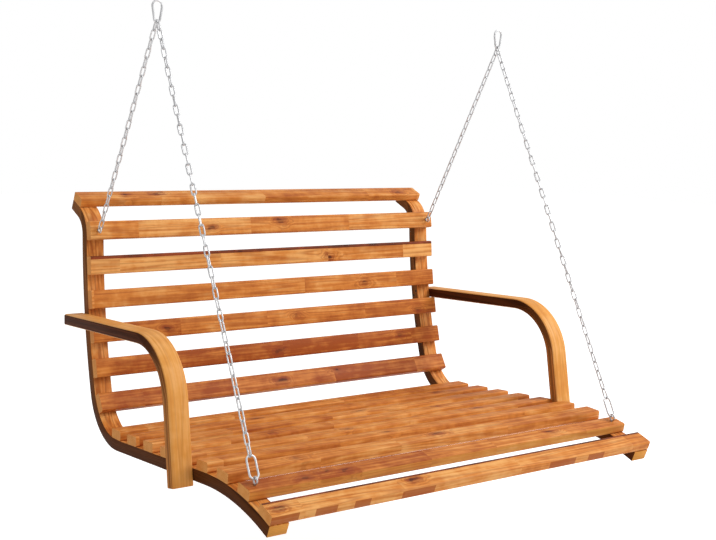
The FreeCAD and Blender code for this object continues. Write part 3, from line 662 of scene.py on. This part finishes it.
def ply_edge(name, wood, side_tone, end_tone, contrast=1.0):
    """Cut side of a bent, glued strip: streaked layers and dark glue lines, paler towards one end."""
    material, tree, shader = new_finish(name)
    place = add(tree, "ShaderNodeAttribute", attribute_name="grain")
    split = add(tree, "ShaderNodeSeparateXYZ", {0: place.outputs["Vector"]})
    layer_at = add(tree, "ShaderNodeMath", {0: split.outputs[2], 1: 1 / wood.ply}, operation="MULTIPLY")
    number = add(tree, "ShaderNodeMath", {0: layer_at.outputs[0]}, operation="FLOOR")
    layer = add(tree, "ShaderNodeTexWhiteNoise", {"W": number.outputs[0]}, noise_dimensions="1D")
    part = add(tree, "ShaderNodeMath", {0: layer_at.outputs[0], 1: 0.5}, operation="PINGPONG")
    fibre = add(
        tree, "ShaderNodeVectorMath",
        {0: place.outputs["Vector"], 1: [1 / (size * MM) for size in LAYER_STREAK]}, operation="MULTIPLY",
    )
    streaks = add(
        tree, "ShaderNodeTexNoise",
        {"Vector": fibre.outputs[0], "Scale": 1.0, "Detail": 3.0, "Roughness": 0.6},
    )
    mixed = add(
        tree, "ShaderNodeMath", {0: layer.outputs["Value"], 1: 0.5, 2: streaks.outputs["Fac"]},
        operation="MULTIPLY_ADD",
    )
    dark = add(
        tree, "ShaderNodeMapRange",
        {
            "Value": mixed.outputs[0], "From Min": 0.5, "From Max": 1.2,
            "To Min": 0.0, "To Max": 0.8 * contrast,
        },
    )
    reach = add(tree, "ShaderNodeAttribute", attribute_name="reach")
    paling = add(
        tree, "ShaderNodeMapRange", {"Value": reach.outputs["Fac"], "From Min": 0.5, "From Max": 0.85},
        interpolation_type="SMOOTHSTEP",
    )
    line = add(
        tree, "ShaderNodeMapRange",
        {
            "Value": part.outputs[0], "From Min": 0.03, "From Max": 0.12,
            "To Min": 0.5 * contrast, "To Max": 0.0,
        },
    )
    marked = tuple(side_tone)
    for amount, colour in ((paling, end_tone), (dark, wood.glue), (line, wood.glue)):
        marked = add(
            tree, "ShaderNodeMix",
            {"Factor": amount.outputs[0], COLOUR_A: marked, COLOUR_B: tuple(colour)}, data_type="RGBA",
        ).outputs[COLOUR_OUT]
    satin(tree, shader, streaks)
    tree.links.new(marked, shader.inputs["Base Color"])
    shader.inputs["Specular IOR Level"].default_value = 0.02
    return material


def end_grain(name, wood):
    """Sawn ends of the boards: growth rings as slanting lines on pale wood."""
    material, tree, shader = new_finish(name)
    place = add(tree, "ShaderNodeAttribute", attribute_name="grain")
    slant = add(
        tree, "ShaderNodeVectorMath",
        {0: place.outputs["Vector"], 1: [part / wood.ring_gap for part in RING_SLANT]},
        operation="DOT_PRODUCT",
    )
    cloud = add(
        tree, "ShaderNodeTexNoise",
        {"Vector": place.outputs["Vector"], "Scale": 1 / (END_PATCH * MM), "Detail": 2.0},
    )
    bent = add(
        tree, "ShaderNodeMath", {0: cloud.outputs["Fac"], 1: 3.0, 2: slant.outputs["Value"]},
        operation="MULTIPLY_ADD",
    )
    ring = add(tree, "ShaderNodeMath", {0: bent.outputs[0], 1: 0.5}, operation="PINGPONG")
    late = add(
        tree, "ShaderNodeMapRange",
        {"Value": ring.outputs[0], "From Min": 0.25, "From Max": 0.5, "To Min": 0.0, "To Max": 0.5},
        interpolation_type="SMOOTHSTEP",
    )
    marked = tuple(wood.pale)
    for amount, colour in ((cloud, wood.honey), (late, wood.amber)):
        marked = add(
            tree, "ShaderNodeMix",
            {"Factor": amount.outputs[0], COLOUR_A: marked, COLOUR_B: tuple(colour)}, data_type="RGBA",
        ).outputs[COLOUR_OUT]
    tree.links.new(marked, shader.inputs["Base Color"])
    shader.inputs["Roughness"].default_value = 0.6
    shader.inputs["Specular IOR Level"].default_value = 0.1
    return material


def plated_steel(name, bright, worn, grit_mm, least_rough):
    """Plated steel: a smooth metal, rubbed a little duller in patches."""
    material, tree, shader = new_finish(name)
    place = add(tree, "ShaderNodeTexCoord")
    patches = add(
        tree, "ShaderNodeTexNoise",
        {"Vector": place.outputs["Object"], "Scale": 1 / (grit_mm * MM), "Detail": 3.0, "Roughness": 0.6},
    )
    tone = add(
        tree, "ShaderNodeMix",
        {"Factor": patches.outputs["Fac"], COLOUR_A: tuple(bright), COLOUR_B: tuple(worn)}, data_type="RGBA",
    )
    rub = add(
        tree, "ShaderNodeMapRange",
        {
            "Value": patches.outputs["Fac"], "From Min": 0.3, "From Max": 0.7,
            "To Min": least_rough, "To Max": least_rough + 0.16,
        },
    )
    tree.links.new(tone.outputs[COLOUR_OUT], shader.inputs["Base Color"])
    tree.links.new(rub.outputs[0], shader.inputs["Roughness"])
    shader.inputs["Metallic"].default_value = 1.0
    return material


def finish_named(name, make, *values, **options):
    """A finish by its name, made the first time it is asked for."""
    return bpy.data.materials.get(name) or make(name, *values, **options)


def board_finishes(wood):
    """The finishes of a slat: faces, sawn ends, edges with painted shade, edges with finger joints and pale
    edges.
    """
    tones = (tuple(wood.pale), tuple(wood.honey), tuple(wood.amber))
    pale = (tuple(wood.pale), tuple(wood.strip), tuple(wood.honey))
    dark = (tuple(wood.scar), tuple(wood.knot), tuple(wood.knot))
    # Scar and knot tones, used as painted shade along the edge next to the neighbouring slat
    return [
        finish_named("satin_varnished_boards", varnished_wood, wood, tones, 0.4, wood.block),
        finish_named("varnished_end_grain", end_grain, wood),
        finish_named("varnished_dark_edge", varnished_wood, wood, dark, 0.4, wood.block),
        finish_named("varnished_jointed_edge", varnished_wood, wood, tones, 0.2, wood.block, joints=True),
        finish_named("varnished_pale_edge", varnished_wood, wood, pale, 0.3, wood.block),
    ]


def strip_finishes(wood, kind):
    """The finishes of a bent strip: its faces, one long layer without joints, its cut sides and its ends."""
    faces = {"rail": (wood.pale, wood.honey, wood.amber), "arm": (wood.pale, wood.strip, wood.honey)}
    tones = [tuple(tone) for tone in faces[kind]]
    sides = {"rail": (wood.rail_side, wood.rail_end), "arm": (wood.arm_side, wood.arm_end)}
    figure = {"rail": 0.6, "arm": 0.2}
    stretch = {"rail": 8, "arm": 24}
    return [
        finish_named(
            f"satin_varnished_{kind}", varnished_wood, wood, tones, figure[kind], STRIP_BLOCK, stretch[kind]
        ),
        finish_named(f"stained_{kind}_layers", ply_edge, wood, *sides[kind]),
        finish_named("varnished_strip_ends", ply_edge, wood, wood.strip, wood.strip, contrast=0.35),
    ]


def zinc(metal):
    """The finish of chains, hooks and eye bolts."""
    return finish_named(
        "bright_zinc_plate", plated_steel, metal.zinc, metal.worn, grit_mm=4.0, least_rough=0.4
    )


# Pieces

def slat_nodes():
    """The names of the seat and back slats."""
    slats = ("seat_slat_", "back_slat_")
    return [name for name in frame["nodes"] if name.startswith(slats) and name[-1].isdigit()]


def strip_piece(wood, node, kind, start, runs, rounding, figure_start):
    """A bent strip from its CAD node, its edges eased, its grain running along its own line."""
    bm = merged_copy(node)
    ease_edges(bm, rounding, STRIP_EDGE_LEAST)
    for face in bm.faces:
        face.material_index = STRIP_SIDE if abs(face.normal.x) > SIDE_FACING else STRIP_FACE
    piece = finish_mesh(bm, f"{node}_strip", strip_finishes(wood, kind), [node])
    line = frames_along(start, runs)
    lift = UPRIGHT_TO_HUNG.inverted()
    places = []
    for co in vertex_array(piece):
        spot = lift @ Vector(co)
        gaps = (line[:, 0] - spot.y) ** 2 + (line[:, 1] - spot.z) ** 2
        y, z, heading, distance = line[int(gaps.argmin())]
        off = -math.sin(heading) * (spot.y - y) + math.cos(heading) * (spot.z - z)
        along = distance + math.cos(heading) * (spot.y - y) + math.sin(heading) * (spot.z - z)
        places.append((along + figure_start, spot.x + figure_start, off))
    write_grain(piece, places, BOARD_TONE)
    along = numpy.array(places)[:, 0]
    for face in piece.data.polygons:
        spots = along[list(face.vertices)]
        if spots.max() < along.min() + STRIP_END_DEPTH or spots.min() > along.max() - STRIP_END_DEPTH:
            face.material_index = STRIP_END


def slat_piece(wood, node, number):
    """A slat from its CAD node, its long edges eased, its figure cut from its own place in the wood."""
    bm = merged_copy(node)
    ease_edges(bm, wood.edge, SLAT_EDGE_LEAST)
    reach = max(vert.co.x for vert in bm.verts)
    end = numpy.array([vert.co.yz[:] for vert in bm.verts if vert.co.x > reach - SLAT_END_DEPTH])
    mean, axes = principal_frame(end)
    across = axes[0] * math.copysign(1, axes[0].sum())
    off = axes[1] * math.copysign(1, axes[1][1] - axes[1][0])
    # A band along the edge next to the neighbouring slat is cut off to take the painted shade
    border = ((end - mean) @ across).max() - wood.painted_shade_band
    if node in PAINTED_SHADE_SLATS:
        bmesh.ops.bisect_plane(
            bm, geom=bm.verts[:] + bm.edges[:] + bm.faces[:], dist=WELD_GAP,
            plane_co=(0, *(mean + across * border)), plane_no=(0, *across),
        )
    piece = finish_mesh(bm, f"{node}_board", board_finishes(wood), [node])
    for face in piece.data.polygons:
        finish = SLAT_FACE
        if abs(face.normal.x) > EDGE_FACING:
            finish = SLAT_END
        # The band along the edge next to the neighbouring slat gets the painted shade
        elif node in PAINTED_SHADE_SLATS and (numpy.array(face.center.yz) - mean) @ across > border:
            finish = PAINTED_SHADE_EDGE
        elif node in FRONT_EDGES and numpy.dot(face.normal.yz, across) < -EDGE_FACING:
            finish = FRONT_EDGES[node]
        face.material_index = finish
    points = vertex_array(piece)
    local = points[:, 1:] - mean
    start = SLAT_FIGURE_STEP * number
    places = numpy.column_stack((points[:, 0] + reach + start, local @ across, local @ off))
    spots = zip(KNOTS.get(node, ()), KNOT_SIDES)
    knots = [(along * MM + start, side * MM, 0.0) for along, side in spots]
    write_grain(piece, places, BOARD_TONES.get(node, BOARD_TONE), knots)


class SWING_BENCH_OT_slats(bpy.types.Operator):
    """Make the slats of the seat and the back"""
    bl_idname = "swing_bench.slats"
    bl_label = "Slats"

    def execute(self, context):
        for number, node in enumerate(slat_nodes()):
            slat_piece(context.scene.swing_bench_wood, node, number)
        return {"FINISHED"}


class SWING_BENCH_OT_rails(bpy.types.Operator):
    """Make the two bent side rails"""
    bl_idname = "swing_bench.rails"
    bl_label = "Side rails"

    def execute(self, context):
        wood = context.scene.swing_bench_wood
        for number, side in enumerate(SIDES):
            strip_piece(
                wood, f"side_rail_{side}", "rail", RAIL_START, RAIL_RUNS, wood.rail_edge,
                RAIL_FIGURE_START + number,
            )
        return {"FINISHED"}


class SWING_BENCH_OT_armrests(bpy.types.Operator):
    """Make the two bent armrests"""
    bl_idname = "swing_bench.armrests"
    bl_label = "Armrests"

    def execute(self, context):
        wood = context.scene.swing_bench_wood
        for number, side in enumerate(SIDES):
            strip_piece(
                wood, f"armrest_{side}", "arm", ARM_START, ARM_RUNS, wood.edge, ARM_FIGURE_START + number
            )
        return {"FINISHED"}


def oval_runs(half_width, half_length):
    """The runs of an oval ring from the middle of one long side."""
    straight = half_length - half_width
    return [(straight,), (half_width, 180), (2 * straight,), (half_width, 180), (straight,)]


def ring_piece(metal, node, halves, wire, sides, arc_step):
    """Round-wire rings in the places of a CAD node's links."""
    bm = bmesh.new()
    runs = in_metres(oval_runs(*halves))
    side = Matrix.Translation((0, -halves[0] * MM, 0))
    for points in solids_of(node):
        mean, axes = principal_frame(points)
        place = frame_matrix(mean, axes[0], axes[1]) @ side
        bend_wire(bm, runs, wire / 2, sides, arc_step, place, closed=True)
    finish_mesh(bm, f"{node}_wire", [zinc(metal)], [node], sharp_angle=75)


class SWING_BENCH_OT_chains(bpy.types.Operator):
    """Make the chain links and the long links"""
    bl_idname = "swing_bench.chains"
    bl_label = "Chains"

    def execute(self, context):
        metal = context.scene.swing_bench_metal
        for side in SIDES:
            for node in (f"front_chain_{side}", f"rear_chain_{side}", f"top_links_{side}"):
                ring_piece(metal, node, LINK_HALVES, metal.link_wire, metal.wire_sides, LINK_STEP)
            ring_piece(metal, f"long_link_{side}", LONG_LINK_HALVES, metal.long_wire, *LONG_LINK_DETAIL)
        return {"FINISHED"}


def eye_piece(metal, node):
    """An eye of round wire and its shank in the place of a CAD node's bolt."""
    points = solids_of(node)[0]
    mean, axes = principal_frame(points)
    reach = (points - mean) @ axes[0]
    wide = numpy.abs((points - mean) @ axes[1])
    shank = axes[0] if reach[wide.argmax()] > 0 else -axes[0]
    reach = (points - mean) @ shank
    middle = reach.max() - EYE_TIP * MM
    place = frame_matrix(mean + shank * middle, shank, axes[1])
    side = Matrix.Translation((0, -EYE_RADIUS * MM, 0))
    tail = Matrix.Translation((reach.min() - middle, 0, 0))
    length = middle - reach.min() - SHANK_END * MM
    bm = bmesh.new()
    runs = in_metres([(EYE_RADIUS, 180), (EYE_RADIUS, 180)])
    bend_wire(bm, runs, metal.eye_wire / 2, *EYE_DETAIL, place @ side, closed=True)
    bend_wire(bm, [(length,)], SHANK_RADIUS * MM, *SHANK_DETAIL, place @ tail)
    finish_mesh(bm, f"{node}_ring", [zinc(metal)], [node])


class SWING_BENCH_OT_eye_bolts(bpy.types.Operator):
    """Make the eye bolts"""
    bl_idname = "swing_bench.eye_bolts"
    bl_label = "Eye bolts"

    def execute(self, context):
        for node in frame["nodes"]:
            if node.startswith("eye_bolt_") and node.endswith(SIDES):
                eye_piece(context.scene.swing_bench_metal, node)
        return {"FINISHED"}


def hook_matrix(side):
    """The place of a hook's plane: X along the lower bow, Y up."""
    facing = 0 if side == "left" else math.pi
    sign = -1 if side == "left" else 1
    stand = Matrix.Rotation(math.pi / 2, 4, "X")
    return Matrix.Translation((sign * HOOK_X, 0, SWING_HEIGHT)) @ Matrix.Rotation(facing, 4, "Z") @ stand


class SWING_BENCH_OT_hooks(bpy.types.Operator):
    """Make the two snap hooks of round wire, each with the tongue that its gate turns on"""
    bl_idname = "swing_bench.hooks"
    bl_label = "Snap hooks"

    def execute(self, context):
        metal = context.scene.swing_bench_metal
        bm = bmesh.new()
        for side in SIDES:
            place = hook_matrix(side)
            turned = place @ Matrix.Rotation(math.pi, 4, "Y")
            bend_wire(bm, in_metres(HOOK_RUNS), metal.hook_wire / 2, *HOOK_DETAIL, turned)
            bend_wire(bm, in_metres(TONGUE_RUNS), metal.hook_wire / 2, *HOOK_DETAIL, place)
            centre = Matrix.Translation((TONGUE_CENTRE[0] * MM, TONGUE_CENTRE[1] * MM, 0))
            lean = Matrix.Rotation(-math.radians(HOOK_LEAN), 4, "Z")
            block = Matrix.Diagonal([size * MM for size in TONGUE_SIZE] + [1])
            made = bmesh.ops.create_cube(bm, size=1, matrix=place @ centre @ lean @ block)
            edges = list({edge for vert in made["verts"] for edge in vert.link_edges})
            round_edges(bm, edges, TONGUE_EDGE * MM)
        finish_mesh(bm, "snap_hooks_wire", [zinc(metal)], ["snap_hooks"], sharp_angle=60)
        return {"FINISHED"}


class SWING_BENCH_OT_fasteners(bpy.types.Operator):
    """Give the gates, screws, washers, nuts and pins their finish"""
    bl_idname = "swing_bench.fasteners"
    bl_label = "Gates and fasteners"

    def execute(self, context):
        metal = context.scene.swing_bench_metal
        rub = {"grit_mm": 3.0, "least_rough": 0.45}
        plain = finish_named("dull_zinc_plate", plated_steel, metal.zinc, metal.worn, **rub)
        brown = finish_named("browned_steel", plated_steel, metal.brown, metal.black, **rub)
        finishes = {node: brown for node in ("seat_slat_screws", "back_slat_screws", "armrest_screws")}
        for node in ("eye_bolt_washers", "eye_bolt_nuts", "gate_pins", "hook_gate_left", "hook_gate_right"):
            finishes[node] = plain
        for node, finish in finishes.items():
            materials = bpy.data.objects[node].data.materials
            materials.clear()
            materials.append(finish)
        return {"FINISHED"}


# Stage

class SWING_BENCH_OT_stage(bpy.types.Operator):
    """Set the floor, the lights and the camera"""
    bl_idname = "swing_bench.stage"
    bl_label = "Stage"

    def execute(self, context):
        scene = context.scene
        stage = scene.swing_bench_stage
        scene.view_settings.view_transform = "Standard"
        self.make_floor(scene, stage)
        self.make_world(scene, stage)
        self.make_lamp(scene, stage)
        self.make_camera(scene, stage)
        return {"FINISHED"}

    def make_floor(self, scene, stage):
        """A pale floor that the camera sees as white."""
        bm = bmesh.new()
        level = Matrix.Translation((0, 0, stage.floor_height))
        bmesh.ops.create_grid(bm, x_segments=2, y_segments=2, size=FLOOR_REACH, matrix=level)
        mesh = bpy.data.meshes.new("floor")
        bm.to_mesh(mesh)
        bm.free()
        floor = bpy.data.objects.new("floor", mesh)
        scene.collection.objects.link(floor)
        material, tree, shader = new_finish("pale_matt_floor")
        shader.inputs["Base Color"].default_value = tuple(stage.floor)
        shader.inputs["Roughness"].default_value = 0.9
        shader.inputs["Specular IOR Level"].default_value = 0.0
        path = add(tree, "ShaderNodeLightPath")
        seen = path.outputs["Is Camera Ray"]
        for ray in ("Is Glossy Ray", "Is Transmission Ray"):
            seen = add(
                tree, "ShaderNodeMath", {0: seen, 1: path.outputs[ray]}, operation="MAXIMUM"
            ).outputs[0]
        share = add(tree, "ShaderNodeMath", {0: seen, 1: stage.floor_glow}, operation="MULTIPLY")
        shader.inputs["Emission Color"].default_value = (1, 1, 1, 1)
        tree.links.new(share.outputs[0], shader.inputs["Emission Strength"])
        mesh.materials.append(material)

    def make_world(self, scene, stage):
        """An even sky that lights the bench; the camera sees it white, the metal a darker band of walls."""
        world = bpy.data.worlds.new("white_studio")
        world.use_nodes = True
        tree = world.node_tree
        tree.nodes.clear()
        path = add(tree, "ShaderNodeLightPath")
        seen = add(
            tree, "ShaderNodeMath",
            {0: path.outputs["Is Camera Ray"], 1: path.outputs["Is Transmission Ray"]}, operation="MAXIMUM",
        )
        place = add(tree, "ShaderNodeTexCoord")
        split = add(tree, "ShaderNodeSeparateXYZ", {0: place.outputs["Generated"]})
        height = add(tree, "ShaderNodeMath", {0: split.outputs[2]}, operation="ABSOLUTE")
        walls = add(
            tree, "ShaderNodeMapRange",
            {
                "Value": height.outputs[0], "From Min": 0.1, "From Max": 0.45,
                "To Min": stage.walls, "To Max": 1.0,
            },
            interpolation_type="SMOOTHSTEP",
        )
        strength = add(
            tree, "ShaderNodeMix",
            {"Factor": path.outputs["Is Glossy Ray"], NUMBER_A: stage.sky, NUMBER_B: walls.outputs[0]},
        )
        strength = add(
            tree, "ShaderNodeMix", {"Factor": seen.outputs[0], NUMBER_A: strength.outputs[0], NUMBER_B: 1.0}
        )
        sky = add(tree, "ShaderNodeBackground", {"Color": (1, 1, 1, 1), "Strength": strength.outputs[0]})
        add(tree, "ShaderNodeOutputWorld", {"Surface": sky.outputs[0]})
        scene.world = world

    def make_lamp(self, scene, stage):
        """A large square lamp turned to the bench."""
        lamp = bpy.data.lights.new("key", "AREA")
        lamp.size = LAMP_WIDTH
        lamp.energy = stage.key_power
        holder = bpy.data.objects.new("key", lamp)
        holder.location = LAMP_PLACE
        towards = Vector(LAMP_TARGET) - Vector(LAMP_PLACE)
        holder.rotation_euler = towards.to_track_quat("-Z", "Y").to_euler()
        scene.collection.objects.link(holder)

    def make_camera(self, scene, stage):
        """The camera, placed in the upright frame and turned with the bench to where it hangs."""
        camera = bpy.data.cameras.new("camera")
        camera.lens = stage.lens
        camera.sensor_width = 36
        camera.shift_x, camera.shift_y = CAMERA_SHIFT
        camera.clip_end = 100
        yaw, pitch = math.radians(CAMERA_YAW), math.radians(CAMERA_PITCH)
        right = Vector((math.cos(yaw), math.sin(yaw), 0))
        level = math.cos(pitch)
        ahead = Vector((-math.sin(yaw) * level, math.cos(yaw) * level, math.sin(pitch)))
        up = right.cross(ahead)
        upright = Matrix((right, up, -ahead)).transposed().to_4x4()
        upright.translation = Vector(CAMERA_PLACE) * MM
        holder = bpy.data.objects.new("camera", camera)
        holder.matrix_world = UPRIGHT_TO_HUNG @ upright
        scene.collection.objects.link(holder)
        scene.camera = holder


OPERATORS = (
    SWING_BENCH_OT_slats,
    SWING_BENCH_OT_rails,
    SWING_BENCH_OT_armrests,
    SWING_BENCH_OT_chains,
    SWING_BENCH_OT_eye_bolts,
    SWING_BENCH_OT_hooks,
    SWING_BENCH_OT_fasteners,
    SWING_BENCH_OT_stage,
)


class SWING_BENCH_PT_panel(bpy.types.Panel):
    """Lists the pieces and their settings"""
    bl_idname = "SWING_BENCH_PT_panel"
    bl_label = "Swing Bench"
    bl_space_type = "VIEW_3D"
    bl_region_type = "UI"
    bl_category = "Swing Bench"

    def draw(self, context):
        for operator in OPERATORS:
            self.layout.operator(operator.bl_idname)
        for settings in ("swing_bench_wood", "swing_bench_metal", "swing_bench_stage"):
            box = self.layout.box()
            group = getattr(context.scene, settings)
            for name in group.__annotations__:
                box.prop(group, name)


CLASSES = (WoodSettings, MetalSettings, StageSettings) + OPERATORS + (SWING_BENCH_PT_panel,)


def register():
    """Register the classes and their settings."""
    for item in CLASSES:
        bpy.utils.register_class(item)
    bpy.types.Scene.swing_bench_wood = PointerProperty(type=WoodSettings)
    bpy.types.Scene.swing_bench_metal = PointerProperty(type=MetalSettings)
    bpy.types.Scene.swing_bench_stage = PointerProperty(type=StageSettings)


def unregister():
    """Take the classes and their settings out again."""
    del bpy.types.Scene.swing_bench_stage
    del bpy.types.Scene.swing_bench_metal
    del bpy.types.Scene.swing_bench_wood
    for item in reversed(CLASSES):
        bpy.utils.unregister_class(item)


def main():
    """Build every piece and the stage."""
    register()
    bpy.ops.swing_bench.slats()
    bpy.ops.swing_bench.rails()
    bpy.ops.swing_bench.armrests()
    bpy.ops.swing_bench.chains()
    bpy.ops.swing_bench.eye_bolts()
    bpy.ops.swing_bench.hooks()
    bpy.ops.swing_bench.fasteners()
    bpy.ops.swing_bench.stage()


if __name__ == "__main__":
    main()
